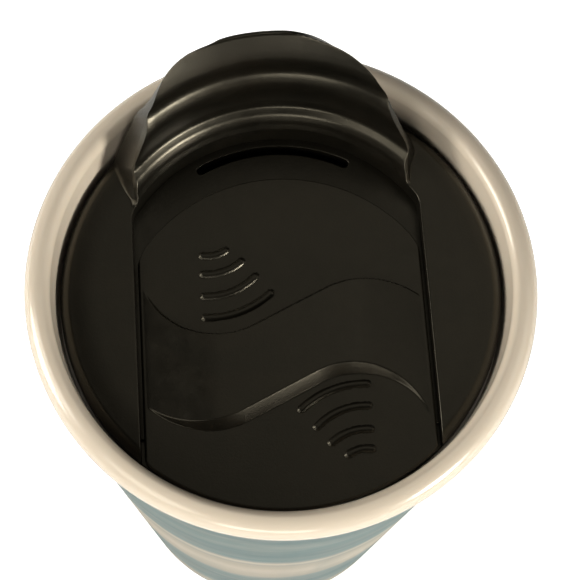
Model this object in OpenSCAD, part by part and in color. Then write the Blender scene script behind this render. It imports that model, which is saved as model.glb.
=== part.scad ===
// Insulated travel mug: a double-wall glazed ceramic body with a plug-in slide lid.
// Millimetres, +Z up. The origin is the centre of the resting face of the foot.
// The drinking spout stands at the back (+Y), and the slider moves along Y.

/* [Body] */
// height from the table to the top of the rim
mug_h = 165; // [150:1:175]
// outside radius of the rolled rim
rim_r = 44.5; // [44:0.1:45.5]
// outside radius of the body just above the foot
foot_r = 35.4; // [34:0.2:38]
// thickness of the outer ceramic wall
shell_wall = 2.7; // [2.2:0.1:3.2]
// thickness of the inner ceramic wall
cup_wall = 2.4; // [2:0.1:2.8]
// rounding of the foot's outer edge
foot_round = 6; // [3:0.5:8]

/* [Lid] */
// width of the channel that the slider runs in
channel_w = 51.4; // [50.8:0.1:52]
// how far the lands stand below the top of the rim
land_drop = 5.6; // [5:0.1:6.4]
// depth of the channel floor below the top of the rim
floor_drop = 9.5; // [9.2:0.1:9.8]
// height of the spout above the top of the rim
spout_h = 19.6; // [18.2:0.2:23]
// radius of the round wall at the back of the channel
bowl_r = 30; // [29.8:0.1:30.2]
// half angle of the curved drinking slot
slot_half_deg = 28; // [20:1:34]

/* [Slider] */
// width of the slider's plate
slider_w = 50.2; // [49.6:0.1:50.4]
// thickness of the slider's plate
slider_t = 2; // [1.8:0.1:2.2]
// travel from open to closed
slider_travel = 8.2; // [7:0.1:8.4]
// height of the wave-shaped step at its middle
wave_h = 2.2; // [1.4:0.1:2.6]
// thickness of each finger rib
rib_w = 1.25; // [1:0.05:1.4]

/* [Part] */
// part to draw

/* [Hidden] */
$fn = 96;

// Rim and the well that takes the lid.
roll_r = 3.2;                        // outer rounding of the rim
crest_r = rim_r - roll_r;            // radius of the rim's crest
mouth_r = rim_r - 4.6;               // radius just inside the crest
mouth_round = 1.9;                   // height of the rounding inside the crest
neck_r = rim_r - 1.5;                // body just below the rolled rim
seat_z = mug_h - 11.5;               // shoulder the lid rests on
well_r = 39.3;                       // straight wall above the shoulder
seal_r = 38;                         // inside of the cup where the gasket seals

// Foot.
base_z = 0.6;                        // ceramic stands clear of the table
recess_z = base_z + 4;               // top of the recess under the foot
pad_r = 31.6;                        // foot pad
plug_r = 4;                          // stem of the vent plug
plug_head_r = 7;
cup_floor_z = 9;                     // underside of the inner cup

// Lid.
lid_r = well_r - 0.4;                // lid's outer radius
floor_z = mug_h - floor_drop;        // channel floor
land_z = mug_h - land_drop;          // top of the lands
half_channel = channel_w / 2;
slot_in = bowl_r - 4.2;              // inner radius of the drinking slot
slot_out = bowl_r - 1.2;             // outer radius of the drinking slot
collar_r = 35;                       // collar that holds the skirt
collar_in = 33.2;                    // inside of the collar
catch_z = seat_z - 3.6;              // round catch between collar and skirt
skirt_r = 37;                        // outer radius of the plug skirt
skirt_bore = collar_r + 0.05;        // inside of the skirt, around the collar
groove_r = 36.1;                     // bottom of the gasket groove
valve_pos = [-17, 13.5, 0];          // air inlet and valve, at the back left

// Slider, drawn open.
slider_z0 = floor_z + 0.2;           // underside of the plate
slider_z1 = slider_z0 + slider_t;    // flat top of the plate
half_slider = slider_w / 2;
slider_back_r = bowl_r - 0.5;        // the back edge matches the round wall when closed
slider_front_r = lid_r - 0.1;        // the front edge matches the lid's edge when open
edge_step = 0.3;                     // width of the step around the plate's top edge
edge_step_h = 0.35;
wave_mid_y = -10.9;                  // centre of the wave's half-turn symmetry
tongue_w = 1.1;                      // side tongues that run in the lands' grooves
tongue_groove = 1.45;                // depth of each groove
clip_x = 12;                         // clips stand at +clip_x and -clip_x
clip_y = -14.9;

// ---------------------------------------------------------------- helpers

// Points of an elliptical arc; centre and radii are [across, up].
function arc(centre, radii, start, end, steps) =
  [for (i = [0:steps]) let (a = start + (end - start) * i / steps)
    [centre.x + radii.x * cos(a), centre.y + radii.y * sin(a)]];

// Section points given as [radius, height above the rim], moved to their place.
function from_rim(points) = [for (p = points) [p.x, mug_h + p.y]];

// Solid of revolution about Z, from points [radius, z].
module turned(points) {
  rotate_extrude(angle = 360) polygon(points);
}

// Round-section ring lying flat.
module hoop(radius, section_r, sides) {
  rotate_extrude() translate([radius, 0]) circle(r = section_r, $fn = sides);
}

module ring(outer, inner, z0, z1) {
  translate([0, 0, z0]) difference() {
    cylinder(r = outer, h = z1 - z0);
    translate([0, 0, -1]) cylinder(r = inner, h = z1 - z0 + 2);
  }
}

// Sector about +Y that reaches past the given radius, used to trim rings.
module wedge(half_deg, radius, z0, z1) {
  reach = 1.3 * radius;
  translate([0, 0, z0]) linear_extrude(z1 - z0)
    polygon([[0, 0], for (i = [-4:4]) let (a = half_deg * i / 4) reach * [sin(a), cos(a)]]);
}

// Curved slot with round ends, centred on +Y.
module kidney(inner, outer, half_deg, z0, z1) {
  mid_r = (inner + outer) / 2;
  intersection() {
    ring(outer, inner, z0, z1);
    wedge(half_deg, outer, z0 - 1, z1 + 1);
  }
  for (side = [-1, 1])
    translate([side * mid_r * sin(half_deg), mid_r * cos(half_deg), z0])
      cylinder(r = (outer - inner) / 2, h = z1 - z0, $fn = 48);
}

// ---------------------------------------------------------------- body

// Outer ceramic wall with the thick rolled rim and a recessed foot.
module outer_shell() {
  recess_r = pad_r + 0.2;
  inside_r = foot_r - shell_wall;
  corner = 5;                        // rounding inside, at the bottom
  color([0.86, 0.83, 0.78]) difference() {
    turned(concat(
      [[0, recess_z], [recess_r, recess_z], [recess_r, base_z]],
      arc([foot_r - foot_round, base_z + foot_round], [foot_round, foot_round], -62, 0, 10),
      [[neck_r, mug_h - 8.8], [neck_r, mug_h - 7.2]],
      arc([crest_r, mug_h - roll_r], [roll_r, roll_r], -46, 90, 22),
      arc([crest_r, mug_h - mouth_round], [crest_r - mouth_r, mouth_round], 96, 180, 10),
      [[well_r, seat_z + 1], [well_r, mug_h - 24], [inside_r, base_z + 14]],
      arc([inside_r - corner, base_z + 13.5 - shell_wall], [corner, corner], 0, -90, 8),
      [[0, recess_z + shell_wall]]
    ));
    // hole through which the air space dried, closed by the plug
    cylinder(r = plug_r + 0.05, h = 12);
  }
}

// Inner ceramic cup, joined to the shell below the rim.
module inner_cup() {
  cup_r = foot_r - shell_wall - 3.6; // outside, just above its floor
  corner = 8;                        // outer rounding at the floor
  corner_x = cup_r - corner;
  liner_r = well_r - 0.02;           // outside, where it meets the shell
  bulge_r = well_r - 3.2;            // outside, below the joint
  color([0.9, 0.88, 0.83]) turned(concat(
    [[0, cup_floor_z], [corner_x, cup_floor_z]],
    arc([corner_x, cup_floor_z + corner], [corner, corner], -85, 0, 10),
    [[bulge_r, mug_h - 34], [liner_r, mug_h - 23.5], [liner_r, seat_z],
     [seal_r + 0.3, seat_z], [seal_r, seat_z - 0.4],
     [seal_r, mug_h - 27], [bulge_r - cup_wall, mug_h - 37],
     [cup_r - cup_wall, cup_floor_z + 10]],
    arc([corner_x, cup_floor_z + 9], [corner - cup_wall, 9 - cup_wall], 0, -90, 10),
    [[0, cup_floor_z + cup_wall]]
  ));
}

// Silicone plug in the shell's drying hole: head, stem and tapered tip.
module vent_plug() {
  color([0.55, 0.55, 0.56]) {
    translate([0, 0, 2.7]) cylinder(r = plug_head_r, h = 1.85);
    translate([0, 0, 4.5]) cylinder(r = plug_r, h = 3.4);
    translate([0, 0, 7.85]) cylinder(r1 = plug_r, r2 = 3.2, h = 0.9);
  }
}

// Non-slip silicone pad in the recess of the foot, with three round grooves below.
module foot_pad() {
  pad_top = 4.5;
  color([0.2, 0.2, 0.21]) difference() {
    turned([[0, 0], [pad_r - 0.6, 0], [pad_r, 0.6], [pad_r, pad_top], [0, pad_top]]);
    // pocket for the plug's head
    translate([0, 0, 2.6]) cylinder(r = plug_head_r + 0.2, h = 3);
    for (r = [12, 18, 24]) ring(r, r - 1, -1, 0.5);
  }
}

// ---------------------------------------------------------------- lid

// Section of the spout wall: a steep edge over the channel, two soft folds inside, a rolled top
// that leans outward, and a flared outside. Columns: radius, height above the rim.
function spout_section() = from_rim(concat(
  [[bowl_r, -floor_drop - 1], [bowl_r, -5.1], [bowl_r + 0.12, -4.85], [30.4, -3.6]],
  arc([32.05, -2.5], [1.45, 1.45], 176, 94, 6),
  [[32.5, -0.5], [32.72, 1], [32.6, 6.6]],
  arc([34.1, 8.3], [1.45, 1.65], 182, 94, 6),
  [[34.18, 11], [34.05, spout_h - 6.8], [34.2, spout_h - 5.2],
   [34.95, spout_h - 3.7], [35.8, spout_h - 2.15]],
  arc([37.25, spout_h - 0.85], [0.85, 0.85], 150, 10, 7),
  [[38.2, spout_h - 6.6], [38.3, 8], [38.4, 2], [38.65, -4],
   [lid_r, -land_drop - 1.2], [lid_r, -floor_drop - 1]]));

// Front view of the spout, half of a broad arch. Columns: distance from the middle, height
// above the rim. The crown is given for a 19.6 mm spout and follows spout_h.
crown_h = 19.6;
arch_crown = [
  [0, 20.8], [4, 20.5], [8, 19.6], [12, 18.3], [15, 16.6], [17.2, 14.5],
  [18.5, 12.5], [19.5, 10.8], [20.5, 8.8], [21.3, 6.8], [22.2, 4.3]];
// The flared feet keep their heights and run down to the lands.
arch_feet = [
  [23.1, 1.8], [23.8, -0.3], [24.5, -2.3], [25.2, -4], [26.2, -5.1],
  [28, -6.2], [31.4, -7.4], [33.4, -8.6], [35, -10.6]];
arch_lean = 0.06;                    // lean to the left per mm of height above the rim

function arch_point(side, p) = [side * p.x - arch_lean * max(0, p.y), p.y];

// Block behind the arch's front view.
module spout_arch() {
  half = concat([for (p = arch_crown) [p.x, p.y * spout_h / crown_h]], arch_feet);
  last = len(half) - 1;
  depth = 60;
  translate([0, depth, mug_h]) rotate([90, 0, 0]) linear_extrude(depth)
    polygon(concat([for (i = [0:last]) arch_point(1, half[i])],
                   [for (i = [last:-1:1]) arch_point(-1, half[i])]));
}

module spout() {
  hollow_y = 12.5;
  hollow_r = 9;
  difference() {
    intersection() {
      turned(spout_section());
      spout_arch();
    }
    // soft hollow where the spout's feet run down to the lands
    translate([-50, -60, land_z]) cube([100, 60 + hollow_y, 60]);
    translate([-50, hollow_y, land_z + hollow_r]) rotate([0, 90, 0])
      cylinder(r = hollow_r, h = 100);
    translate([-50, 3, land_z + 6]) cube([100, 18, 60]);
  }
}

// Lands before the channel is opened through them, sloping down at their outer edge.
module land_blanks() {
  difference() {
    turned([[bowl_r - 6, floor_z - 1], [bowl_r - 6, land_z], [34.6, land_z],
            [36.6, land_z - 0.35], [37.9, land_z - 1], [38.5, land_z - 1.9],
            [38.5, floor_z - 1]]);
    translate([0, 0, floor_z]) cylinder(r = bowl_r, h = 40);
  }
  // straight inner edges
  difference() {
    translate([0, 0, floor_z - 1]) cylinder(r = 34, h = land_z - floor_z + 1);
    translate([-half_channel, -50, floor_z - 2]) cube([channel_w, 100, 30]);
  }
}

// Lands either side of the channel.
module lands() {
  difference() {
    land_blanks();
    // open front of the channel, and its straight part behind the middle
    translate([-half_channel, -50, floor_z]) cube([channel_w, 50, 30]);
    translate([-half_channel, -1, floor_z]) cube([channel_w, 16, 30]);
  }
}

// Flange and channel floor, with small bevels on the outer edge.
module lid_plate() {
  bevel = 0.3;
  turned([[0, seat_z], [lid_r - bevel, seat_z], [lid_r, seat_z + bevel],
          [lid_r, floor_z - bevel], [lid_r - bevel, floor_z], [0, floor_z]]);
}

// Everything cut out of the top moulding.
module lid_openings() {
  // the lands' grooves for the slider's tongues
  translate([-half_channel - tongue_groove, -50, floor_z])
    cube([channel_w + 2 * tongue_groove, 50 + 14.5, 1.35]);
  // drinking slot
  kidney(slot_in, slot_out, slot_half_deg, seat_z - 2, floor_z + 0.1);
  // slots for the two clips, long enough for the travel
  for (side = [-1, 1])
    translate([side * clip_x - 1.7, clip_y - 2.5, seat_z - 1])
      cube([3.4, 4.85 + slider_travel, 4]);
  // air inlet
  translate(valve_pos + [0, 0, seat_z - 1]) cylinder(r = 0.9, h = 4, $fn = 32);
}

// Top moulding of the lid: channel floor, lands, spout and collar in one piece.
module lid_top() {
  color([0.09, 0.085, 0.075]) difference() {
    union() {
      lid_plate();
      lands();
      spout();
      ring(collar_r, collar_in, seat_z - 5, seat_z + 0.5);
      translate([0, 0, catch_z]) hoop(collar_r, 0.35, 16);
    }
    lid_openings();
  }
}

// Lower moulding: a plug skirt with the splash baffle and the gasket groove.
module lid_skirt() {
  top_z = seat_z - 0.02;
  cut_z = mug_h - 30;                // holes through the baffle start here
  cut_h = 10;
  color([0.12, 0.115, 0.11]) difference() {
    turned(concat(
      [[skirt_bore, top_z]],
      from_rim([[skirt_bore, -22.5], [0, -22.5], [0, -24.1], [34.4, -24.1], [35.6, -25.2],
                [36.4, -25.2], [36.8, -24.4], [skirt_r, -22], [skirt_r, -20.6],
                [groove_r, -20.6], [groove_r, -17.4], [skirt_r, -17.4]]),
      [[skirt_r, top_z]]));
    // matching catch groove
    translate([0, 0, catch_z]) hoop(skirt_bore, 0.42, 16);
    // drink passage below the slot
    kidney(slot_in - 2, slot_out + 1.2, slot_half_deg + 2, cut_z, cut_z + cut_h);
    // seat of the air valve
    translate(valve_pos + [0, 0, cut_z]) cylinder(r = 1.55, h = cut_h, $fn = 48);
    // drain-back holes
    for (x = [-9, -3, 3, 9]) translate([x, -28, cut_z]) cylinder(r = 1.2, h = cut_h, $fn = 32);
  }
}

// Flat ring that seals the two mouldings against each other.
module joint_seal() {
  color([0.75, 0.73, 0.7])
    ring(collar_in - 0.1, 31.6, seat_z - 1.6, seat_z - 0.03);
}

// Main seal: a silicone ring with two soft lips.
module lid_gasket() {
  inner = groove_r + 0.02;
  color([0.78, 0.76, 0.72]) turned(from_rim([
    [inner, -20.5], [inner, -17.5],
    [37.1, -17.5], [37.75, -17.1], [37.94, -17.35], [37.55, -18.1], [37.1, -18.7],
    [37.1, -19.3], [37.75, -18.95], [37.94, -19.2], [37.55, -19.95], [37.1, -20.5]]));
}

// Mushroom valve that lets air in behind the drink: head below, stem, and barb above.
module air_valve() {
  head_h = 0.5;
  stem_z = mug_h - 24.15;
  color([0.75, 0.73, 0.7]) translate(valve_pos) {
    translate([0, 0, stem_z - head_h]) cylinder(r1 = 2.2, r2 = 3.2, h = head_h, $fn = 48);
    translate([0, 0, stem_z]) cylinder(r = 1.5, h = 1.66, $fn = 48);
    translate([0, 0, mug_h - 22.5]) cylinder(r1 = 2.1, r2 = 1.3, h = 1.3, $fn = 48);
  }
}

// ---------------------------------------------------------------- slider

// Outline of the slider's plate, drawn in by the inset.
module slider_outline(inset = 0) {
  intersection() {
    translate([-half_slider + inset, -50]) square([slider_w - 2 * inset, 100]);
    union() {
      intersection() {
        circle(r = slider_front_r - inset, $fn = 160);
        translate([-50, -60]) square([100, 60 - slider_travel]);
      }
      intersection() {
        translate([0, -slider_travel]) circle(r = slider_back_r - inset, $fn = 160);
        translate([-50, -slider_travel - 0.01]) square([100, 60]);
      }
    }
  }
}

// Back edge of the raised wave: a hollow arc on the left and a bulging arc on the right,
// joined by their common tangent.
hollow_end = -5.06;                  // x where the left arc ends
bulge_start = 7.71;                  // x where the right arc starts
function hollow_arc(x) = 6.2 - sqrt(max(0, pow(14, 2) - pow(max(x, -24.8) + 11, 2)));
function bulge_arc(x) = -15 + sqrt(max(0, pow(16, 2) - pow(x - 14.5, 2)));
function tangent_line(x) =
  let (y0 = hollow_arc(hollow_end), y1 = bulge_arc(bulge_start))
  y0 + (y1 - y0) * (x - hollow_end) / (bulge_start - hollow_end);
function wave_y(x) =
  x < hollow_end ? hollow_arc(x) : x > bulge_start ? bulge_arc(x) : tangent_line(x);

// Nearly level in the middle, sloping away evenly to nothing at both ends.
function wave_top(x) =
  wave_h * min(1 - 0.00062 * x * x, 0.0785 * (half_slider - 0.5 - abs(x)));

// Four corners of the wave's section at x: front foot, front top, back top, back foot.
function wave_section(x) =
  let (height = max(0.02, wave_top(x)),
       back = wave_y(x),
       front = 2 * wave_mid_y - wave_y(-x),
       foot_z = slider_z1 - 0.2,
       top_z = slider_z1 + height)
  [[x, front - 0.75 * height - 0.2, foot_z], [x, front, top_z],
   [x, back, top_z], [x, back + 0.25 * height + 0.1, foot_z]];

// Raised wave-shaped band with sloping faces, highest at the middle.
module wave() {
  steps = 56;
  half_w = half_slider - 0.7;
  points = [for (i = [0:steps]) each wave_section(-half_w + 2 * half_w * i / steps)];
  sides = [for (i = [0:steps - 1]) for (k = [0:3])
             let (a = 4 * i + k, b = 4 * i + (k + 1) % 4)
             each [[a, b, b + 4], [a, b + 4, a + 4]]];
  end_cap = [for (k = [0:3]) 4 * steps + k];
  polyhedron(points = points, faces = concat([[3, 2, 1, 0]], sides, [end_cap]));
}

// Finger ribs. Columns: bend radius, y of the frontmost point, x of the right end.
rib_table = [[5.6, 7.2, -9.5], [9, 3.8, -6.8], [11.5, -0.3, -4.5], [16, -4.2, -2]];
rib_x = -12.5;                       // centre of all the bends
rib_left = 1.2;                      // how far the ribs run left of that centre

// One set of four curved finger ribs, each a piece of a round-topped ring.
module ribs() {
  for (rib = rib_table) {
    bend = rib[0];
    translate([rib_x, rib[1] + bend, slider_z1 - 0.16]) intersection() {
      hoop(bend, rib_w / 2, 24);
      translate([-rib_left, -bend - 2, -1]) cube([rib[2] - rib_x + rib_left, bend + 2, 3]);
    }
  }
}

// Plate with a small step around its top edge.
module slider_plate() {
  translate([0, 0, slider_z0]) {
    linear_extrude(slider_t - edge_step_h) slider_outline();
    linear_extrude(slider_t) slider_outline(edge_step);
  }
}

// Sliding cover with the finger ribs, side tongues and pad recess.
module slider() {
  color([0.1, 0.092, 0.08]) difference() {
    union() {
      slider_plate();
      wave();
      ribs();
      translate([0, 2 * wave_mid_y, 0]) rotate([0, 0, 180]) ribs();
      // side tongues
      for (x = [half_slider - 1, -half_slider - tongue_w])
        translate([x, -25, slider_z0]) cube([tongue_w + 1, 28, 0.95]);
    }
    // recess for the sealing pad
    translate([0, -slider_travel, 0])
      kidney(slot_in - 1.05, slider_back_r - 0.5, slot_half_deg + 1,
             slider_z0 - 1, slider_z0 + 0.9);
    // sockets for the two clips
    for (side = [-1, 1])
      translate([side * clip_x - 1.3, clip_y - 1.8, slider_z0 - 1]) cube([2.6, 3.6, 2.2]);
  }
}

// Silicone pad that closes the drinking slot.
module slider_pad() {
  color([0.3, 0.29, 0.28]) translate([0, -slider_travel, 0])
    kidney(slot_in - 0.95, slider_back_r - 0.6, slot_half_deg + 1,
           slider_z0 - 0.14, slider_z0 + 0.88);
}

// Two snap clips that hold the slider through slots in the floor: stem and foot.
module slider_clips() {
  stem_z = seat_z - 0.6;
  color([0.16, 0.155, 0.15]) for (side = [-1, 1]) translate([side * clip_x, clip_y, 0]) {
    translate([-1.25, -1.75, stem_z]) cube([2.5, 3.5, slider_z0 + 1.15 - stem_z]);
    translate([-3.2, -2.6, seat_z - 1.5]) cube([6.4, 5.2, 1.4]);
  }
}

outer_shell();
inner_cup();
vent_plug();
foot_pad();
lid_top();
lid_skirt();
joint_seal();
lid_gasket();
air_valve();
slider();
slider_pad();
slider_clips();
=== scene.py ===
"""Glazed stoneware mug with a black plastic lid and a sliding cover.

The mug stands on the table (z = 0) with its axis on Z. The rim is RIM_Z above the table. +Y is
the back, where the arched spout hood stands; -Y is the front, where the channel of the sliding
cover is open. Sizes are in millimetres and are scaled by MM when meshes are made.
"""
import bpy
import bmesh
import math
import numpy as np
from mathutils import Matrix, Vector

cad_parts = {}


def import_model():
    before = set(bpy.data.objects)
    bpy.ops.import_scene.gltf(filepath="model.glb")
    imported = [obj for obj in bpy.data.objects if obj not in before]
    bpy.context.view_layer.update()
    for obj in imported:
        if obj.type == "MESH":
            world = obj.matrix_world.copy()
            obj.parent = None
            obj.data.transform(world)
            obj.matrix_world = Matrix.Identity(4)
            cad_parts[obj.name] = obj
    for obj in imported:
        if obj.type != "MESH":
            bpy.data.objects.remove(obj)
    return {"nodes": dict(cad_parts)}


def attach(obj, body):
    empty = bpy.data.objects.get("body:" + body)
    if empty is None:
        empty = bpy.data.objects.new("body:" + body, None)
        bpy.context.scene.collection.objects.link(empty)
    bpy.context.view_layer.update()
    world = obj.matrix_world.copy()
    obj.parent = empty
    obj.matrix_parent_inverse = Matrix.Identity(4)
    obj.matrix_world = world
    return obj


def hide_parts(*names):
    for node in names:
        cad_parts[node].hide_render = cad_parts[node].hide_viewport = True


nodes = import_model()["nodes"]
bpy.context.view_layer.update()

MM = 0.001
RIM_Z = 165.0                  # height of the mug's rim
FLOOR_Z = RIM_Z - 9.5          # top of the lid's floor plate
SEAT_Z = RIM_Z - 11.5          # underside of the lid's floor plate
LID_R = 38.9
BOWL_R = 30.0                  # inner radius of the lid ring at the back
CHANNEL_HALF = 25.7            # half width of the straight channel
RING_BASE = -9.6               # underside of the lid ring, over the rim


# ---------------------------------------------------------------- curves and blends

def smooth_min(first, second, width):
    share = np.clip(0.5 + 0.5 * (second - first) / width, 0.0, 1.0)
    return second + (first - second) * share - width * share * (1 - share)


def smooth_max(first, second, width):
    return -smooth_min(-first, -second, width)


def smooth_step(start, end, value):
    share = np.clip((value - start) / (end - start), 0.0, 1.0)
    return share * share * (3 - 2 * share)


def fillet(distance, radius):
    """Drop (0 or less) of a quarter-round edge at a distance from the edge."""
    share = np.clip(1 - distance / radius, 0, 1)
    return -radius * (1 - np.sqrt(np.maximum(0, 1 - share * share)))


def arc(centre_x, centre_y, radius_x, radius_y, start, end, steps):
    """Points of an elliptical arc; angles in degrees."""
    angles = [math.radians(start + (end - start) * i / steps) for i in range(steps + 1)]
    return [(centre_x + radius_x * math.cos(angle), centre_y + radius_y * math.sin(angle))
            for angle in angles]


def resample(points, step):
    """Adds points along long straight runs so that smooth shading stays even."""
    out = [points[0]]
    for (x0, y0), (x1, y1) in zip(points[:-1], points[1:]):
        count = max(1, int(math.ceil(math.hypot(x1 - x0, y1 - y0) / step)))
        for i in range(1, count + 1):
            out.append((x0 + (x1 - x0) * i / count, y0 + (y1 - y0) * i / count))
    return out


def rounded(points, radii, steps):
    """Rounds the corners of an open profile; one radius per point, 0 keeps the point."""
    out = []
    for i, (point, radius) in enumerate(zip(points, radii)):
        if radius == 0:
            out.append(point)
            continue
        before, corner, after = (np.array(q, float) for q in points[i - 1:i + 2])
        back, ahead = before - corner, after - corner
        back_length, ahead_length = np.linalg.norm(back), np.linalg.norm(ahead)
        trim = min(radius, back_length * 0.49, ahead_length * 0.49)
        start = corner + back / back_length * trim
        end = corner + ahead / ahead_length * trim
        for k in range(steps + 1):
            t = k / steps
            out.append(tuple((1 - t) ** 2 * start + 2 * t * (1 - t) * corner + t * t * end))
    return out


# ---------------------------------------------------------------- meshes and objects

def add_object(name, data):
    obj = bpy.data.objects.new(name, data)
    bpy.context.scene.collection.objects.link(obj)
    return obj


def mesh_object(name, vertices, faces):
    """Smooth-shaded object from vertices in metres."""
    mesh = bpy.data.meshes.new(name)
    mesh.from_pydata([tuple(v) for v in vertices], [], faces)
    mesh.update()
    bm = bmesh.new()
    bm.from_mesh(mesh)
    bmesh.ops.recalc_face_normals(bm, faces=bm.faces)
    bm.to_mesh(mesh)
    bm.free()
    mesh.polygons.foreach_set("use_smooth", [True] * len(mesh.polygons))
    return add_object(name, mesh)


def grid_faces(rows, columns):
    """Quads for a grid stored as index = row * columns + column."""
    return [(a + j, a + columns + j, a + columns + j + 1, a + j + 1)
            for a in range(0, (rows - 1) * columns, columns) for j in range(columns - 1)]


def lathe(name, profile, segments):
    """Body of revolution from a closed profile of (r, z)."""
    vertices, faces = [], []
    for r, z in profile:
        for i in range(segments):
            angle = 2 * math.pi * i / segments
            vertices.append((r * MM * math.cos(angle), r * MM * math.sin(angle), z * MM))
    for k in range(len(profile)):
        low = k * segments
        high = (k + 1) % len(profile) * segments
        for i in range(segments):
            j = (i + 1) % segments
            faces.append((low + i, low + j, high + j, high + i))
    return mesh_object(name, vertices, faces)


def plate(name, outlines, z0, z1, bevel):
    """Flat plate between two heights; outlines after the first cut holes."""
    curve = bpy.data.curves.new(name, "CURVE")
    curve.dimensions = "2D"
    curve.fill_mode = "BOTH"
    for points in outlines:
        spline = curve.splines.new("POLY")
        spline.points.add(len(points) - 1)
        for target, (x, y) in zip(spline.points, points):
            target.co = (x * MM, y * MM, 0, 1)
        spline.use_cyclic_u = True
    curve.extrude = (z1 - z0) / 2 * MM - bevel * MM
    curve.bevel_depth = bevel * MM
    curve.bevel_resolution = 2
    curve.offset = -bevel * MM
    source = add_object(name + "_c", curve)
    source.location = (0, 0, (z0 + z1) / 2 * MM)
    bpy.context.view_layer.update()
    depsgraph = bpy.context.evaluated_depsgraph_get()
    mesh = bpy.data.meshes.new_from_object(source.evaluated_get(depsgraph))
    mesh.transform(source.matrix_world)
    bpy.data.objects.remove(source)
    return add_object(name, mesh)


def box(name, low, high, bevel=0.15):
    """Box between two corners, with rounded edges."""
    mesh = bpy.data.meshes.new(name)
    bm = bmesh.new()
    bmesh.ops.create_cube(bm, size=1.0)
    for vertex in bm.verts:
        vertex.co = Vector([(a + b) / 2 + unit * (b - a)
                            for a, b, unit in zip(low, high, vertex.co)]) * MM
    bmesh.ops.bevel(bm, geom=list(bm.edges), offset=bevel * MM, segments=3,
                    affect="EDGES", profile=0.5)
    bm.to_mesh(mesh)
    bm.free()
    return add_object(name, mesh)


def join(parts, name):
    """Replaces the parts by one object that holds all their meshes."""
    bm = bmesh.new()
    for part in parts:
        bm.from_mesh(part.data)
    mesh = bpy.data.meshes.new(name)
    bm.to_mesh(mesh)
    bm.free()
    for part in parts:
        bpy.data.objects.remove(part)
    return add_object(name, mesh)


def smooth_by_angle(obj, degrees):
    """Shades smooth, with sharp edges where faces meet at more than the angle."""
    mesh = obj.data
    mesh.polygons.foreach_set("use_smooth", [True] * len(mesh.polygons))
    bm = bmesh.new()
    bm.from_mesh(mesh)
    for edge in bm.edges:
        if len(edge.link_faces) == 2:
            edge.smooth = edge.calc_face_angle(0) < math.radians(degrees)
    bm.to_mesh(mesh)
    bm.free()


def dress(obj, material):
    obj.data.materials.clear()
    obj.data.materials.append(material)


# ---------------------------------------------------------------- shader helpers

class Shader:
    """Builds the node tree of a material or a world."""

    def __init__(self, owner):
        owner.use_nodes = True
        self.tree = owner.node_tree
        self.tree.nodes.clear()
        self.coords = self.node("TexCoord")

    def feed(self, socket, value):
        """Links another node's output to the socket, or sets its value."""
        if isinstance(value, bpy.types.NodeSocket):
            self.tree.links.new(value, socket)
            return
        if socket.type == "RGBA" and len(value) == 3:
            value = (*value, 1)
        socket.default_value = value

    def node(self, kind, inputs=None, **settings):
        node = self.tree.nodes.new("ShaderNode" + kind)
        for key, value in settings.items():
            setattr(node, key, value)
        for key, value in (inputs or {}).items():
            self.feed(node.inputs[key], value)
        return node

    def noise(self, scale, detail, roughness, distortion=0.0, vector=None):
        return self.node("TexNoise", {
            "Scale": scale, "Detail": detail, "Roughness": roughness, "Distortion": distortion,
            "Vector": vector or self.coords.outputs["Object"]}).outputs[0]

    def ramp(self, value, stops, interpolation="LINEAR"):
        """Colour ramp from stops of (position, rgb)."""
        node = self.node("ValToRGB", {0: value})
        node.color_ramp.interpolation = interpolation
        elements = node.color_ramp.elements
        while len(elements) > 1:
            elements.remove(elements[-1])
        for i, (position, colour) in enumerate(stops):
            element = elements[0] if i == 0 else elements.new(position)
            element.position = position
            element.color = (*colour, 1)
        return node.outputs[0]

    def mask(self, value, start, end, falling=False):
        """Black to white between two values, or white to black."""
        black, white = (0, 0, 0), (1, 1, 1)
        if falling:
            black, white = white, black
        return self.ramp(value, [(start, black), (end, white)])

    def math(self, operation, *values, clamp=False):
        inputs = dict(enumerate(values))
        return self.node("Math", inputs, operation=operation, use_clamp=clamp).outputs[0]

    def times(self, value, factor):
        return self.math("MULTIPLY", value, factor)

    def remap(self, value, gain, offset):
        return self.math("ADD", self.times(value, gain), offset)

    def mix(self, factor, first, second, mode="MIX"):
        inputs = {0: factor, 6: first, 7: second}
        return self.node("Mix", inputs, data_type="RGBA", blend_type=mode).outputs[2]

    def bump(self, height, distance, strength, normal=None):
        inputs = {"Strength": strength, "Distance": distance, "Height": height}
        if normal:
            inputs["Normal"] = normal
        return self.node("Bump", inputs).outputs[0]

    def stretched(self, z_scale):
        """Object coordinates with Z scaled."""
        return self.node("Mapping", {"Vector": self.coords.outputs["Object"],
                                     "Scale": (1, 1, z_scale)}).outputs[0]

    def specks(self, scale, radius, pick_start, pick_end):
        """Round specks in a few of the cells of a Voronoi pattern."""
        cells = self.node("TexVoronoi", {"Scale": scale,
                                         "Vector": self.coords.outputs["Object"]})
        dots = self.mask(cells.outputs["Distance"], 0.0, radius, falling=True)
        picked = self.mask(cells.outputs["Color"], pick_start, pick_end)
        return self.mix(1.0, dots, picked, "MULTIPLY")


class Material(Shader):
    """Principled material."""

    def __init__(self, name):
        self.material = bpy.data.materials.new(name)
        super().__init__(self.material)
        self.surface = self.node("BsdfPrincipled")
        self.node("OutputMaterial", {0: self.surface.outputs[0]})

    def set(self, inputs):
        for key, value in inputs.items():
            self.feed(self.surface.inputs[key], value)


# ---------------------------------------------------------------- materials

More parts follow.
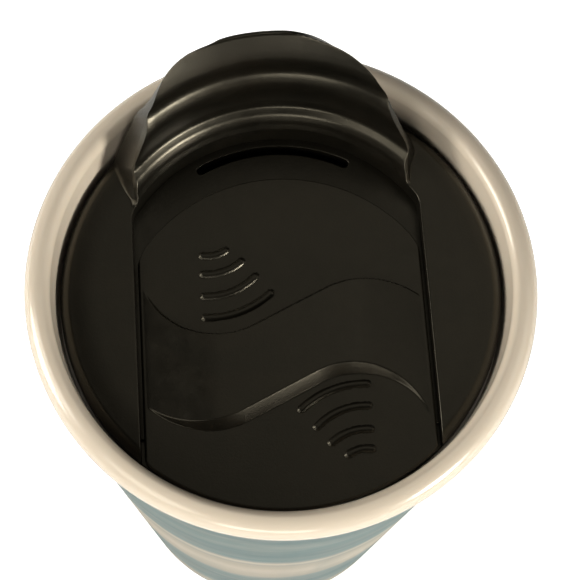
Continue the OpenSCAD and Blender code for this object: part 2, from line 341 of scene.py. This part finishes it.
def black_plastic(name, base, roughness):
    """Moulded black plastic: fine spark texture, faint dust and rubbed highlights."""
    mat = Material(name)
    fine = mat.noise(scale=2600, detail=3, roughness=0.6)
    middle = mat.noise(scale=420, detail=4, roughness=0.6)
    broad = mat.noise(scale=38, detail=3, roughness=0.5)
    dark = tuple(c * 0.9 for c in base)
    light = tuple(c * gain for c, gain in zip(base, (1.2, 1.18, 1.14)))
    dust = mat.specks(scale=620, radius=0.075, pick_start=0.80, pick_end=0.86)
    film = mat.mask(mat.noise(scale=150, detail=6, roughness=0.7, distortion=0.6), 0.52, 0.82)
    patches = mat.mask(mat.noise(scale=46, detail=5, roughness=0.65, distortion=1.2), 0.42, 0.70)
    grains = mat.mask(mat.noise(scale=3400, detail=2, roughness=0.7), 0.45, 0.62)
    colour = mat.mix(mat.mask(broad, 0.3, 0.75), dark, light)
    # each layer: where it lies, how strongly it covers, its colour
    for cover, amount, tint in ((patches, 0.05, (0.060, 0.042, 0.026)),
                                (grains, 0.10, (0.020, 0.021, 0.015)),
                                (film, 0.045, (0.045, 0.040, 0.033)),
                                (dust, 0.10, (0.22, 0.20, 0.18))):
        colour = mat.mix(mat.times(cover, amount), colour, tint)
    base_roughness = mat.remap(middle, gain=0.16, offset=roughness - 0.08)
    relief = mat.bump(fine, distance=0.00003, strength=0.55)
    mat.set({
        "Base Color": colour,
        "Roughness": mat.math("ADD", base_roughness, mat.times(film, 0.06)),
        "Specular IOR Level": 0.6,
        "Specular Tint": (1.0, 0.94, 0.78),
        "Normal": mat.bump(middle, distance=0.000048, strength=0.35, normal=relief)})
    return mat.material


def silicone(name, base, roughness, subsurface):
    mat = Material(name)
    broad = mat.noise(scale=60, detail=4, roughness=0.5)
    fine = mat.noise(scale=1500, detail=3, roughness=0.6)
    mat.set({
        "Base Color": mat.mix(broad, tuple(c * 0.9 for c in base), tuple(c * 1.08 for c in base)),
        "Subsurface Weight": subsurface,
        "Subsurface Radius": (0.002, 0.0018, 0.0015),
        "Roughness": mat.remap(fine, gain=0.15, offset=roughness - 0.07),
        "Normal": mat.bump(fine, distance=0.00004, strength=0.5)})
    return mat.material


BLUE_DARK, BLUE, BLUE_LIGHT = (0.078, 0.142, 0.160), (0.104, 0.170, 0.184), (0.17, 0.22, 0.222)
WASH_CREAM, WASH_PALE = (0.330, 0.300, 0.255), (0.415, 0.380, 0.330)
# (distance down the wall, 0 at the rim and 1 at the foot; colour of the wash)
BANDS = [
    (0.000, BLUE), (0.06, BLUE), (0.12, BLUE_DARK), (0.20, BLUE), (0.29, BLUE_DARK),
    (0.350, BLUE), (0.366, BLUE_LIGHT), (0.386, WASH_PALE), (0.394, WASH_PALE),
    (0.410, (0.255, 0.262, 0.240)), (0.434, WASH_CREAM), (0.500, WASH_PALE),
    (0.585, WASH_CREAM), (0.612, BLUE_LIGHT), (0.635, BLUE), (0.73, BLUE_DARK), (0.83, BLUE),
    (0.865, BLUE_LIGHT), (0.89, WASH_CREAM), (0.94, WASH_PALE), (0.965, BLUE_LIGHT),
    (1.0, BLUE_DARK)]


def banded_wall(mat, cream, middle):
    """Brushed washes on the outer wall. Returns colour, rim mask, inside mask and foot mask."""
    def wander(noise, reach):
        return mat.times(mat.math("SUBTRACT", noise, 0.5), reach)

    def height_mask(height, start, width, falling=False):
        above = mat.math("SUBTRACT", height, start)
        return mat.mask(mat.math("DIVIDE", above, width, clamp=True), 0.0, 1.0, falling)

    place = mat.node("SeparateXYZ", {0: mat.coords.outputs["Object"]})
    x, y = place.outputs["X"], place.outputs["Y"]
    height = mat.times(place.outputs["Z"], 1000.0)      # mm above the table

    # the bands wander with noise drawn out along Z
    tall = mat.stretched(0.35)
    slow = mat.noise(scale=16, detail=5, roughness=0.62, distortion=0.5, vector=tall)
    quick = mat.noise(scale=70, detail=5, roughness=0.65, distortion=0.8, vector=tall)
    shifted = mat.math("ADD", height, wander(slow, 9.0))
    shifted = mat.math("ADD", shifted, wander(quick, 3.6))
    depth = mat.math("DIVIDE", mat.math("SUBTRACT", RIM_Z, shifted), RIM_Z, clamp=True)
    bands = mat.ramp(depth, BANDS, "EASE")
    wash = mat.mix(mat.mask(middle, 0.35, 0.7), bands, mat.mix(0.16, bands, (0.36, 0.34, 0.30)))

    # pale streaks that run round the body, then blue ones drawn out along Z
    round_streaks = mat.noise(scale=30, detail=6, roughness=0.66, distortion=0.6,
                              vector=mat.stretched(4.5))
    tall_streaks = mat.noise(scale=26, detail=6, roughness=0.66, distortion=0.9, vector=tall)
    wash = mat.mix(mat.times(mat.mask(round_streaks, 0.44, 0.68), 0.42), wash,
                   (0.300, 0.290, 0.262))
    wash = mat.mix(mat.times(mat.mask(tall_streaks, 0.50, 0.75), 0.35), wash,
                   (0.115, 0.165, 0.180))

    # cream rim: the washes start just under the roll, along a slightly uneven line
    edge = mat.math("SUBTRACT", height, wander(quick, 0.9))
    rim = height_mask(edge, start=RIM_Z - 8.6, width=1.6)
    # the inner faces lie inside a cone (metres) that follows the tapering wall
    radius = mat.math("SQRT", mat.math("ADD", mat.times(x, x), mat.times(y, y)))
    cone = mat.remap(height, gain=0.0000509, offset=0.03376)
    inside = mat.times(mat.math("LESS_THAN", radius, cone),
                       mat.math("GREATER_THAN", height, 8.0))
    colour = mat.mix(mat.math("MAXIMUM", rim, inside), wash, cream)
    # bare clay ring at the very foot
    foot = height_mask(height, start=0.9, width=1.4, falling=True)
    return mat.mix(foot, colour, (0.52, 0.44, 0.35)), rim, inside, foot


def glaze(name, banded):
    """Glossy cream stoneware with dark specks; banded adds the washes on the outer wall."""
    mat = Material(name)
    broad = mat.noise(scale=22, detail=5, roughness=0.6, distortion=0.4)
    middle = mat.noise(scale=95, detail=6, roughness=0.65, distortion=0.3)
    ripple = mat.noise(scale=55, detail=3, roughness=0.5)
    pinholes = mat.noise(scale=900, detail=3, roughness=0.6)
    specks = mat.specks(scale=230, radius=0.055, pick_start=0.90, pick_end=0.93)
    colour = mat.mix(mat.mask(broad, 0.25, 0.8), (0.660, 0.588, 0.502), (0.722, 0.650, 0.565))
    roughness = mat.remap(middle, gain=0.10, offset=0.16)
    if banded:
        # glossy on the rim and inside, satin on the coloured wall, matt on the foot ring
        colour, rim, inside, foot = banded_wall(mat, colour, middle)
        glossy = mat.math("MAXIMUM", rim, inside)
        roughness = mat.math("ADD", roughness, mat.times(foot, 0.5))
        satin = mat.times(mat.math("SUBTRACT", 1.0, glossy), 0.26)
        roughness = mat.math("ADD", roughness, satin)
        mat.set({"Coat Weight": mat.remap(glossy, gain=0.48, offset=0.02),
                 "Specular IOR Level": mat.remap(glossy, gain=0.38, offset=0.10)})
    else:
        mat.set({"Coat Weight": 0.5})
    relief = mat.bump(ripple, distance=0.00035, strength=0.35)
    mat.set({
        "Base Color": mat.mix(mat.times(specks, 0.55), colour, (0.20, 0.14, 0.10)),
        "Roughness": roughness,
        "Coat Roughness": 0.09,
        "Subsurface Weight": 0.06,
        "Subsurface Radius": (0.0015, 0.001, 0.0007),
        "Normal": mat.bump(pinholes, distance=0.00003, strength=0.35, normal=relief)})
    return mat.material


def table_material():
    """Matt pale table that glows for the camera only, so it is seen close to white."""
    mat = Material("floor")
    cloud = mat.noise(scale=6, detail=4, roughness=0.5)
    camera_ray = mat.node("LightPath").outputs["Is Camera Ray"]
    mat.set({"Base Color": mat.mix(cloud, (0.83, 0.86, 0.93), (0.86, 0.89, 0.95)),
             "Roughness": 0.8,
             "Emission Color": (1, 0.995, 0.985),
             "Emission Strength": mat.times(camera_ray, 0.62)})
    return mat.material


# ---------------------------------------------------------------- ceramic shell

def shell_profile():
    """(r, z) from the hole in the base, out under the foot, up the wall and down inside."""
    foot_r, foot_round, base_z, wall = 35.4, 6.0, 0.6, 2.7
    hole_r, recess_r, recess_z = 4.05, 31.8, base_z + 4
    roll_x, roll_r, mouth_r, lip_height = 41.3, 3.2, 39.9, 1.9
    seat_r, floor_round = 39.3, 5
    inner_r = foot_r - wall
    points = [(hole_r, recess_z), (recess_r, recess_z), (recess_r, base_z + 0.35),
              (32.15, base_z + 0.05)]
    points += arc(foot_r - foot_round, base_z + foot_round, foot_round, foot_round, -60, 0, 14)
    # top of the wall and the soft waist under the roll
    points += [(43.0, RIM_Z - 9.2), (43.0, RIM_Z - 8.2), (42.98, RIM_Z - 7.5),
               (43.02, RIM_Z - 6.9), (43.14, RIM_Z - 6.4), (43.32, RIM_Z - 5.95)]
    points += arc(roll_x, RIM_Z - roll_r, roll_r, roll_r, -40, 90, 26)
    points += arc(roll_x, RIM_Z - lip_height, roll_x - mouth_r, lip_height, 95, 180, 14)
    points += [(seat_r, SEAT_Z + 1), (seat_r, RIM_Z - 24), (inner_r, base_z + 14)]
    points += arc(inner_r - floor_round, base_z + 13.5 - wall, floor_round, floor_round,
                  0, -90, 8)
    points += [(hole_r, recess_z + wall)]
    return resample(points, 3.0)


def build_shell():
    shell = lathe("mug_shell", shell_profile(), 320)
    # thrown irregularity: the upper outer wall wanders by less than a tenth of a millimetre
    mesh = shell.data
    places = np.zeros(len(mesh.vertices) * 3)
    mesh.vertices.foreach_get("co", places)
    x, y, z = places.reshape(-1, 3).T
    angle = np.arctan2(y, x)
    upper_wall = np.hypot(x, y) > 0.0415
    wobble = -0.00005 * (1 + np.sin(3 * angle + 0.7 + 14 * z) * 0.6
                         + np.sin(7 * angle + 90 * z) * 0.3)
    x += np.cos(angle) * wobble * upper_wall
    y += np.sin(angle) * wobble * upper_wall
    mesh.vertices.foreach_set("co", places)
    mesh.update()
    return shell


# ---------------------------------------------------------------- lid ring with the spout hood

# outline of the hood seen from the front: (distance from the middle, height over the rim)
ARCH = [
    (0, 19.8), (3, 19.65), (5.5, 19.4), (7.5, 19.15), (9.6, 18.85), (11.2, 18.6),
    (12.5, 18.35), (13.7, 18.1), (14.7, 17.75), (15.6, 17.4), (16.3, 17.0), (17.0, 16.5),
    (17.7, 15.95), (18.2, 15.4), (18.7, 14.7), (19.2, 13.6), (19.7, 12.1), (20.2, 10.6),
    (20.8, 9.0), (21.5, 7.3), (22.3, 5.3), (23.2, 3.0), (24.1, 0.5), (24.8, -1.4),
    (25.6, -3.0), (26.4, -4.2), (27.4, -5.2), (28.6, -6.1), (30.0, -7.0), (32.0, -9.0),
    (45, -14)]
ARCH_X, ARCH_Z = np.array(ARCH).T
ARCH_BASE = -14.0
ARCH_LEAN = 0.055              # sideways lean of the arch per mm of height

# section of ring and hood at the back: (r, height over the rim)
CHANNEL_WALL = [(BOWL_R, RING_BASE), (BOWL_R, -4.95), (30.45, -3.7)]
HOOD_INSIDE = [
    (30.45, -3.7), (30.75, -2.55), (31.25, -1.6), (31.95, -1.05), (32.5, -0.55), (32.75, 0.9),
    (32.62, 3.6), (32.6, 6.6), (32.85, 8.2), (33.45, 9.35), (34.0, 10.1), (34.18, 11.2),
    (34.02, 12.8), (34.15, 14.3), (34.8, 15.8), (35.6, 17.35), (36.5, 19.0)]
HOOD_OUTSIDE = [
    (37.12, 18.9), (37.5, 16.5), (37.95, 12.5), (38.3, 8), (38.4, 2), (38.55, -2.5),
    (38.8, -6.2), (LID_R, -8.4), (LID_R, RING_BASE)]


def arch_height(x):
    """Height of the arch; a local average keeps the outline free of corners."""
    return sum(np.interp(np.abs(x) + shift, ARCH_X, ARCH_Z)
               for shift in (-0.9, -0.45, 0, 0.45, 0.9)) / 5.0


def hood_profile():
    """Up the inside from the channel floor, over the crest and down the outside."""
    inside_radii = [0] + [9] * (len(HOOD_INSIDE) - 2) + [0]
    points = rounded(CHANNEL_WALL, [0, 0.22, 0], 5)[:-1]
    points += rounded(HOOD_INSIDE, inside_radii, 8)
    points += arc(36.80, 19.30, 0.30, 0.30, 150, 6, 10)
    points += rounded(HOOD_OUTSIDE, [0, 1.5, 1.5, 1.5, 1.5, 1.5, 1.2, 0.6, 0], 5)
    return np.array(resample(points, 0.28))


def ring_slice(angle, profile_r, profile_z, wall_count):
    """Section of the ring at an angle from +Y; the first wall_count points are the wall."""
    sine, cosine = math.sin(angle), math.cos(angle)
    index = np.arange(len(profile_r))
    # inner edge: the round bowl behind, the channel's straight sides elsewhere
    inner_r = CHANNEL_HALF / max(abs(sine), 1e-4)
    if cosine > 0:
        inner_r = smooth_min(inner_r, BOWL_R, 0.8)
    inner_r = min(inner_r, LID_R - 0.25)
    r = inner_r + (profile_r - BOWL_R) * ((LID_R - inner_r) / (LID_R - BOWL_R))
    # the arch only stands at the back
    x = np.interp(profile_z, [-10, 0, 7, 14.4, 19], [33.0, 33.0, 33.2, 34.5, 36.5]) * sine
    arch = arch_height(x + ARCH_LEAN * np.clip(profile_z, 0, 21)) - ARCH_LEAN * x
    arch = ARCH_BASE + (arch - ARCH_BASE) * smooth_step(11.0, 19.5, r * cosine)

    # the hood ends in a thin lip where its inside face meets the arch
    crest = int(np.argmax(profile_z))
    span = slice(wall_count, crest + 1)
    above = np.nonzero(profile_z[span] > arch[span])[0]
    lip = wall_count + int(above[0]) if len(above) else crest
    lip_z, lip_r = arch[lip], r[lip]
    if len(above) and above[0] > 0:
        under = profile_z[lip - 1] - arch[lip - 1]
        over = profile_z[lip] - arch[lip]
        share = under / (under - over)
        lip_z = arch[lip - 1] + (arch[lip] - arch[lip - 1]) * share
        lip_r = r[lip - 1] + (r[lip] - r[lip - 1]) * share
    lip_x = abs(lip_r * sine)

    # steepness of the outside below the lip, a little greater on the +X side
    slope = np.interp(lip_x, [15, 19, 20.5, 22.5, 25, 28], [3.2, 3.0, 2.6, 2.1, 1.8, 1.8])
    slope *= smooth_step(1.5, 16.0, lip_x)
    if lip_x > 19:
        slope *= 1 + (0.25 if sine > 0 else -0.25) * min(1.0, (lip_x - 19) / 1.5)
    flare = 0.2 * smooth_step(17.0, 14.0, lip_z) * smooth_step(-3.0, 2.0, lip_z)
    side_foot = smooth_step(23.0, 26.5, lip_x)      # 1 where the hood runs out into the land

    # flare the inside towards the lip, then keep the radius growing up to the lid's edge
    inside = (index >= wall_count) & (index < lip)
    near_lip = np.clip(1 - (lip_z - profile_z) / 3.2, 0, 1)
    r = np.where(inside, r + flare * near_lip ** 2, r)
    r = np.where(index >= lip, np.maximum(r, lip_r + flare + 0.003 * (index - lip)), r)
    run = np.maximum.accumulate(r[lip:])
    spread = 0.002 * np.arange(len(run)) * (run < LID_R - 0.6)
    r[lip:] = np.minimum(run + spread, LID_R)

    # a low lip gets a gently sloping top of some width before the steep outside
    top_width = 0.0
    if lip_z < 12:
        top_r = np.interp(lip_z, [-5, -3, 0, 4, 8, 11, 12],
                          [30.6, 31.4, 33.2, 33.7, 34.0, 34.2, 34.2])
        top_width = max(0.0, top_r - lip_r - flare)
    beyond = r - lip_r - flare
    fall = 0.35 * np.clip(beyond, 0, top_width) + slope * np.clip(beyond - top_width, 0, None)
    cut = lip_z - np.where(beyond > 0, fall, 2.0 * beyond)
    hood = smooth_min(profile_z, cut, 0.28 + 0.8 * side_foot)

    # land surface over the whole ring, its outer edge rolling gently down
    land = -5.6 - 0.30 * smooth_step(32.0, 38.0, r) ** 1.5
    land -= 1.5 * np.clip((r - 36.9) / 2.0, 0, 1) ** 2.4
    land += 0.5 * fillet(r - inner_r, 0.28)
    z = smooth_max(hood, land, 0.9 + 1.4 * side_foot)

    # vertical inner wall from the ring's underside to its edge, then the outer wall's foot
    wall_z = profile_z[:wall_count]
    climb = (wall_z - wall_z[0]) / (wall_z[-1] - wall_z[0])
    z[:wall_count] = RING_BASE + (z[wall_count] - RING_BASE - 0.05) * climb
    outer_foot = (profile_z < -6.6) & (index >= len(index) // 2)
    z = np.where(outer_foot, np.minimum(z, profile_z), z)
    return np.column_stack([r * sine, r * cosine, z + RIM_Z])


def build_ring():
    profile_r, profile_z = hood_profile().T
    wall_count = int(np.argmax(profile_r > BOWL_R + 1e-6))
    # slices from +Y, close together on the flanks of the hood
    flank = np.radians(22 + 0.14 * np.arange(271))
    back = np.radians(np.linspace(-21.6, 21.6, 110))
    front = np.radians(np.linspace(60.3, 299.7, 560))
    front = np.where(front > math.pi, front - 2 * math.pi, front)
    angles = np.sort(np.concatenate([-flank, back, flank, front]))
    # leave the open front of the channel out
    half_opening = math.asin(CHANNEL_HALF / LID_R) + 0.004
    angles = angles[np.abs(np.abs(angles) - math.pi) > half_opening]
    slices = [ring_slice(angle, profile_r, profile_z, wall_count) for angle in angles]
    rows, columns = len(angles), len(profile_r)
    faces = grid_faces(rows, columns)
    # end caps at the two front tips
    faces.append(tuple(range(columns - 1, -1, -1)))
    faces.append(tuple(range((rows - 1) * columns, rows * columns)))
    return mesh_object("lid_ring", np.concatenate(slices) * MM, faces)


# ---------------------------------------------------------------- lid floor and collar

def circle(centre_x, centre_y, radius, steps):
    return arc(centre_x, centre_y, radius, radius, 0, 360, steps)[:-1]


def kidney(inner_r, outer_r, half_angle, steps=40, end_steps=12):
    """Curved slot with round ends, centred on +Y."""
    half = math.radians(half_angle)
    middle_r, end_r = (inner_r + outer_r) / 2, (outer_r - inner_r) / 2
    end_x, end_y = middle_r * math.sin(half), middle_r * math.cos(half)
    points = []
    for side, radius in ((1, outer_r), (-1, inner_r)):
        for i in range(steps + 1):
            angle = side * (-half + 2 * half * i / steps)
            points.append((radius * math.sin(angle), radius * math.cos(angle)))
        for i in range(1, end_steps):
            angle = side * (math.pi / 2 - half) - math.pi * i / end_steps
            points.append((side * end_x + end_r * math.cos(angle),
                           end_y + end_r * math.sin(angle)))
    return points


def rectangle(x0, x1, y0, y1, radius=0.4, steps=4):
    """Rectangle with rounded corners."""
    points = []
    for x, y, start in ((x1 - radius, y1 - radius, 0), (x0 + radius, y1 - radius, 90),
                        (x0 + radius, y0 + radius, 180), (x1 - radius, y0 + radius, 270)):
        points += arc(x, y, radius, radius, start, start + 90, steps)
    return points


def build_lid():
    ring = build_ring()
    slot_x, slot_half_width = 12, 1.7
    outlines = [circle(0, 0, LID_R, 256), kidney(27.0, 28.6, 28)]
    for x in (-slot_x, slot_x):
        outlines.append(rectangle(x - slot_half_width, x + slot_half_width, -17.4, -4.35))
    outlines.append(circle(-17, 13.5, 0.9, 24))
    floor = plate("lid_floor", outlines, SEAT_Z, FLOOR_Z, bevel=0.18)
    # collar under the floor, with a small bead round its outside
    outer_r, inner_r, bead_r = 35.0, 33.2, 35.3
    top_z, bottom_z = SEAT_Z + 0.3, SEAT_Z - 5
    profile = [(outer_r, top_z), (outer_r, SEAT_Z - 3.2), (bead_r, SEAT_Z - 3.6),
               (outer_r, SEAT_Z - 4.0), (outer_r, bottom_z), (inner_r, bottom_z),
               (inner_r, top_z)]
    profile = rounded(profile, [0, 0.2, 0.2, 0.2, 0.3, 0.3, 0], 3)
    collar = lathe("lid_collar", resample(profile, 2.0), 256)
    lid = join([ring, floor, collar], "lid_body")
    smooth_by_angle(lid, 38)
    return lid


# ---------------------------------------------------------------- sliding cover

COVER_Z0 = FLOOR_Z + 0.2
COVER_Z1 = COVER_Z0 + 2.0
COVER_HALF = 25.1              # half width
COVER_SHIFT = -8.2             # y of the centre of the rounded back edge
WAVE_MIDDLE = -10.9            # the raised wave is point-symmetric about (0, this y)
TANGENT_X = (-5.06, 7.71)      # ends of the common tangent of the wave's two arcs
RIB_CENTRE_X, RIB_START_X = -12.5, -13.6
# finger ribs at the left: (arc radius, lowest y, x of the right end)
RIBS = [(5.6, 7.2, -9.5), (9.0, 3.8, -6.8), (11.5, -0.3, -4.5), (16.0, -4.2, -2.0)]


def wave_back(x):
    """Back edge of the wave: an arc at the left, a tangent, an arc at the right."""
    def left_arc(x):
        return 6.2 - np.sqrt(np.maximum(0, 14 ** 2 - (np.maximum(x, -24.8) + 11) ** 2))

    def right_arc(x):
        return -15 + np.sqrt(np.maximum(0, 16 ** 2 - (x - 14.5) ** 2))

    start, end = TANGENT_X
    y0, y1 = left_arc(start), right_arc(end)
    tangent = y0 + (y1 - y0) * (x - start) / (end - start)
    return np.where(x < start, left_arc(x), np.where(x > end, right_arc(x), tangent))


def wave_front(x):
    return 2 * WAVE_MIDDLE - wave_back(-x)


def wave_height(xs, y):
    """Crowned wave: sloping front face, short steep back face."""
    x = xs[:, None]
    front, back = wave_front(xs), wave_back(xs)
    behind_front = (y - front[:, None]) / np.sqrt(1 + np.gradient(front, xs)[:, None] ** 2)
    before_back = (back[:, None] - y) / np.sqrt(1 + np.gradient(back, xs)[:, None] ** 2)
    crown = smooth_min(2.2 - 0.00137 * x ** 2, 0.1726 * (24.75 - np.abs(x)), 0.30)
    crown = np.maximum(crown, 0)
    front_rise = crown * np.clip(1 + behind_front / (0.80 * crown + 0.12), 0, 1)
    back_rise = crown * np.clip(1 + before_back / (0.22 * crown + 0.14), 0, 1)
    wave = smooth_min(smooth_min(front_rise, crown, 0.16), smooth_min(back_rise, crown, 0.16),
                      0.12)
    return np.maximum(wave, 0)


def rib_height(x, y, radius, lowest_y, end_x, height=0.42, half_width=0.66):
    """Height of one round-topped curved rib."""
    centre_y = lowest_y + radius
    first = math.asin((RIB_START_X - RIB_CENTRE_X) / radius)
    last = math.asin((end_x - RIB_CENTRE_X) / radius)
    angle = np.clip(np.arctan2(x - RIB_CENTRE_X, centre_y - y), first, last)
    distance = np.hypot(x - (RIB_CENTRE_X + radius * np.sin(angle)),
                        y - (centre_y - radius * np.cos(angle)))
    return height * np.sqrt(np.maximum(0, 1 - (distance / half_width) ** 2))


def cover_top():
    """Grid of top surface points, one row per x from left to right, each front to back."""
    edge = COVER_HALF - 0.7
    xs = np.concatenate([np.linspace(-COVER_HALF, -edge, 8, endpoint=False),
                         np.linspace(-edge, edge, 300, endpoint=False),
                         np.linspace(edge, COVER_HALF, 9)])
    # rows are denser near the front and back edges
    share = np.interp(np.linspace(0, 1, 420), [0, 0.03, 0.97, 1], [0, 0.018, 0.982, 1])
    from_side = COVER_HALF - np.abs(xs)
    # outline with soft corners
    front = -np.sqrt(38.8 ** 2 - xs ** 2) - 0.8 * fillet(from_side, 1.2)
    back = COVER_SHIFT + np.sqrt(29.5 ** 2 - xs ** 2) + 0.8 * fillet(from_side, 1.8)
    y = front[:, None] + (back - front)[:, None] * share

    # true distance to a slanting edge is shorter than the distance along y
    def true_distance(along_y, outline):
        slant = np.minimum(np.abs(np.gradient(outline, xs))[:, None], 3)
        return along_y / np.sqrt(1 + slant ** 2)

    from_front = true_distance(y - front[:, None], front)
    from_back = true_distance(back[:, None] - y, back)
    x = xs[:, None]
    rim = np.minimum(fillet(from_side[:, None], 0.45), fillet(from_front, 0.5))
    rim = np.minimum(rim, 0.5 * fillet(from_back, 0.15))
    ribs = np.zeros_like(y)
    for rib in RIBS:
        ribs = np.maximum(ribs, rib_height(x, y, *rib))
        ribs = np.maximum(ribs, rib_height(-x, 2 * WAVE_MIDDLE - y, *rib))
    z = COVER_Z1 + rim + wave_height(xs, y) + ribs
    return np.stack(np.broadcast_arrays(x, y, z), -1)


def build_cover():
    top = cover_top()
    rows, columns = top.shape[:2]
    top = top.reshape(-1, 3)
    faces = grid_faces(rows, columns)
    last_row = (rows - 1) * columns
    outline = [i * columns for i in range(rows)]
    outline += [last_row + j for j in range(1, columns)]
    outline += [i * columns + columns - 1 for i in range(rows - 2, -1, -1)]
    outline += list(range(columns - 2, 0, -1))

    # sides and underside: rings of (height over the underside, inset towards the centre)
    centre = np.array((0, -8.0))
    spokes = top[outline, :2] - centre
    lengths = np.hypot(spokes[:, 0], spokes[:, 1])[:, None]
    count = len(outline)
    levels = [top]
    previous = outline
    for k, (level, inset) in enumerate(((1.0, 0), (0.12, 0), (0, 0.12))):
        place = spokes * (1 - inset / lengths) + centre
        levels.append(np.column_stack([place, np.full(count, COVER_Z0 + level)]))
        base = len(top) + k * count
        current = list(range(base, base + count))
        for i in range(count):
            j = (i + 1) % count
            faces.append((previous[i], previous[j], current[j], current[i]))
        previous = current
    faces.append(tuple(previous))
    name = "slide_cover_body"
    parts = [mesh_object(name, np.concatenate(levels) * MM, faces)]

    # tongues along both sides
    reach, overlap = 1.1, 0.8
    for side, x0, x1 in (("tongue_l", -COVER_HALF - reach, -COVER_HALF + overlap),
                         ("tongue_r", COVER_HALF - overlap, COVER_HALF + reach)):
        parts.append(box(side, (x0, -25, COVER_Z0 + 0.01), (x1, 3, COVER_Z0 + 0.95)))
    cover = join(parts, name)
    smooth_by_angle(cover, 42)
    return cover


# ---------------------------------------------------------------- assembly

lid_plastic = black_plastic("lid_plastic", base=(0.0020, 0.0018, 0.0014), roughness=0.31)
slider_plastic = black_plastic("slider_plastic", base=(0.0021, 0.0019, 0.0015), roughness=0.32)
inner_plastic = black_plastic("inner_plastic", base=(0.010, 0.0096, 0.009), roughness=0.40)
wall_glaze = glaze("glaze_banded", banded=True)
cup_glaze = glaze("glaze_cup", banded=False)
seal = silicone("seal_silicone", base=(0.62, 0.60, 0.56), roughness=0.5, subsurface=0.25)
pad = silicone("pad_silicone", base=(0.045, 0.045, 0.047), roughness=0.62, subsurface=0.0)

mug_shell = build_shell()
dress(mug_shell, wall_glaze)
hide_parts("outer_shell")
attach(mug_shell, "mug")

lid_body = build_lid()
dress(lid_body, lid_plastic)
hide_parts("lid_top")
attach(lid_body, "lid")

slide_cover = build_cover()
dress(slide_cover, slider_plastic)
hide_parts("slider")
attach(slide_cover, "slide_cover")

# CAD pieces that keep their own mesh: (name, material, slot, bevel width)
for part_name, part_material, part_slot, bevel_width in (
        ("inner_cup", cup_glaze, "glaze", 0),
        ("vent_plug", seal, "seal_silicone", 0.3),
        ("foot_pad", pad, "pad_silicone", 0.25),
        ("lid_skirt", inner_plastic, "inner_plastic", 0.25),
        ("joint_seal", seal, "seal_silicone", 0.2),
        ("lid_gasket", seal, "seal_silicone", 0),
        ("air_valve", seal, "seal_silicone", 0.12),
        ("slider_pad", pad, "pad_silicone", 0.12),
        ("slider_clips", inner_plastic, "inner_plastic", 0.2)):
    dress(nodes[part_name], part_material)
    if bevel_width:
        modifier = nodes[part_name].modifiers.new("bevel", "BEVEL")
        modifier.width = bevel_width * MM
        modifier.segments = 3
        modifier.limit_method = "ANGLE"
        modifier.angle_limit = math.radians(40)
        modifier.harden_normals = False


# ---------------------------------------------------------------- stage, lights, camera

# (name, degrees from +X towards +Y, degrees above the horizon, disk radius in m, watts)
LAMPS = [
    ("front_right_low", 315, 12, 0.16, 13.6),
    ("left_low", 180, 12, 0.30, 9.4),
    ("left", 180, 35, 0.30, 4.0),
    ("front_low", 270, 12, 0.16, 1.4),
    ("front_left_low", 255, 12, 0.16, 1.6),
    ("right", 0, 35, 0.30, 0.84),
    ("right_high", 30, 62, 0.35, 0.46),
    ("back_high", 90, 62, 0.35, 0.38),
    ("front_left", 225, 35, 0.30, 2.35),
    ("overhead", 90, 89, 0.35, 0.20),
    ("back_left", 135, 35, 0.30, 0.50)]
LAMP_COLOUR = (1.07, 1.005, 0.87)
LAMP_TARGET = Vector((0, 0, 0.16))
LAMP_DISTANCE = 1.2


def build_table(half=12):
    corners = [(-half, -half, 0), (half, -half, 0), (half, half, 0), (-half, half, 0)]
    table = mesh_object("floor", corners, [(0, 1, 2, 3)])
    table.data.materials.append(table_material())


def build_world():
    """Room bright near the horizon and dark overhead; the camera sees plain white."""
    world = bpy.data.worlds.new("studio")
    bpy.context.scene.world = world
    sky = Shader(world)
    direction = sky.node("SeparateXYZ", {0: sky.coords.outputs["Generated"]})
    fade = sky.ramp(direction.outputs["Z"], [(0.22, (1, 0.97, 0.92)), (0.40, (0.02, 0.02, 0.02))])
    room = sky.node("Background", {"Color": fade, "Strength": 0.162})
    white = sky.node("Background", {"Color": (1, 1, 1), "Strength": 1.0})
    camera_ray = sky.node("LightPath").outputs["Is Camera Ray"]
    mixed = sky.node("MixShader", {0: camera_ray, 1: room.outputs[0], 2: white.outputs[0]})
    sky.node("OutputWorld", {0: mixed.outputs[0]})


def add_lamp(name, azimuth, elevation, radius, watts):
    """Round soft light aimed at the lid."""
    light = bpy.data.lights.new(name, "AREA")
    light.shape = "DISK"
    light.size = 2 * radius
    light.energy = watts
    light.color = LAMP_COLOUR
    lamp = add_object(name, light)
    around, rise = math.radians(azimuth), math.radians(elevation)
    outward = Vector((math.cos(around) * math.cos(rise), math.sin(around) * math.cos(rise),
                      math.sin(rise)))
    lamp.location = LAMP_TARGET + outward * LAMP_DISTANCE
    lamp.rotation_euler = (-outward).to_track_quat("-Z", "Y").to_euler()


def add_camera():
    """Camera above the front, looking steeply down towards the back."""
    data = bpy.data.cameras.new("photo_camera")
    camera = add_object("photo_camera", data)
    bpy.context.scene.camera = camera
    turn, tilt, roll = (math.radians(degrees) for degrees in (-8.858, 71.928, 5.329))
    place = Vector((-11.258, -81.596, 246.074 + RIM_Z)) * MM
    forward = Vector((-math.sin(turn) * math.cos(tilt), math.cos(turn) * math.cos(tilt),
                      -math.sin(tilt)))
    level_right = Vector((math.cos(turn), math.sin(turn), 0))
    level_up = level_right.cross(forward)
    right = math.cos(roll) * level_right + math.sin(roll) * level_up
    up = -math.sin(roll) * level_right + math.cos(roll) * level_up
    camera.matrix_world = Matrix((*zip(right, up, -forward, place), (0, 0, 0, 1)))
    data.sensor_width = 36.0
    data.lens = 93.885517
    data.clip_start = 0.01
    data.clip_end = 20


build_table()
build_world()
for lamp_row in LAMPS:
    add_lamp(*lamp_row)
add_camera()
bpy.context.scene.view_settings.view_transform = "Standard"
